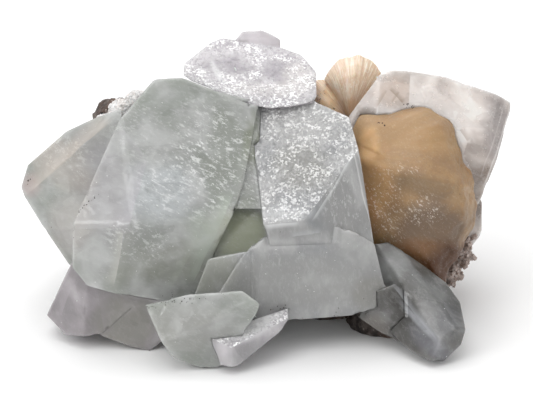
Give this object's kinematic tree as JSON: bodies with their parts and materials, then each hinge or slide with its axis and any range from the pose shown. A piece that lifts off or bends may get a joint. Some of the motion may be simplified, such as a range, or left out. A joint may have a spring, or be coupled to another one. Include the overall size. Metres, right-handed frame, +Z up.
{
  "type": "apophyllite cluster",
  "caption": "Cluster of blocky, glassy pale green to white apophyllite crystals with fan-shaped peach stilbite, on a dark basalt matrix cut flat underneath.",
  "frame": {"origin": "on the flat cut under the basalt, near its middle", "axes": "+Z up, +X along the cluster's length to the viewer's right, -Y towards the viewer of the display face"},
  "size_m": [0.1195, 0.0774, 0.0646],
  "materials": {
    "green_apophyllite": "milky pale green crystal with a glassy skin, white veils inside",
    "frosted_apophyllite": "milky white crystal, its front faces etched and glittering",
    "grey_apophyllite": "clearer grey-white crystal with cleavage planes inside",
    "rose_apophyllite": "white crystal with a faint rose cast, stepped faces",
    "stilbite": "peach, waxy to pearly, in fine blades spreading from a waist",
    "white_druse": "white crust of small crystals",
    "rose_druse": "rose-brown crust of small crystals",
    "basalt": "rough, dark grey-brown rock"
  },
  "bodies": {
    "root": {"small_foot_crystal": "frosted_apophyllite", "foot_crystal": "green_apophyllite", "top_crystal": "frosted_apophyllite", "middle_crystal": "frosted_apophyllite", "great_green_crystal": "green_apophyllite", "lower_right_crystal": "grey_apophyllite", "small_grey_crystal": "grey_apophyllite", "stilbite_sheaf": "stilbite", "stilbite_bud": "stilbite", "right_crystal": "rose_apophyllite", "lower_left_crystal": "grey_apophyllite", "left_crystal": "green_apophyllite", "top_back_crystal": "grey_apophyllite", "notch_crystal": "green_apophyllite", "white_druse": "white_druse", "rose_druse": "rose_druse", "basalt_matrix": "basalt"}
  },
  "joints": []
}
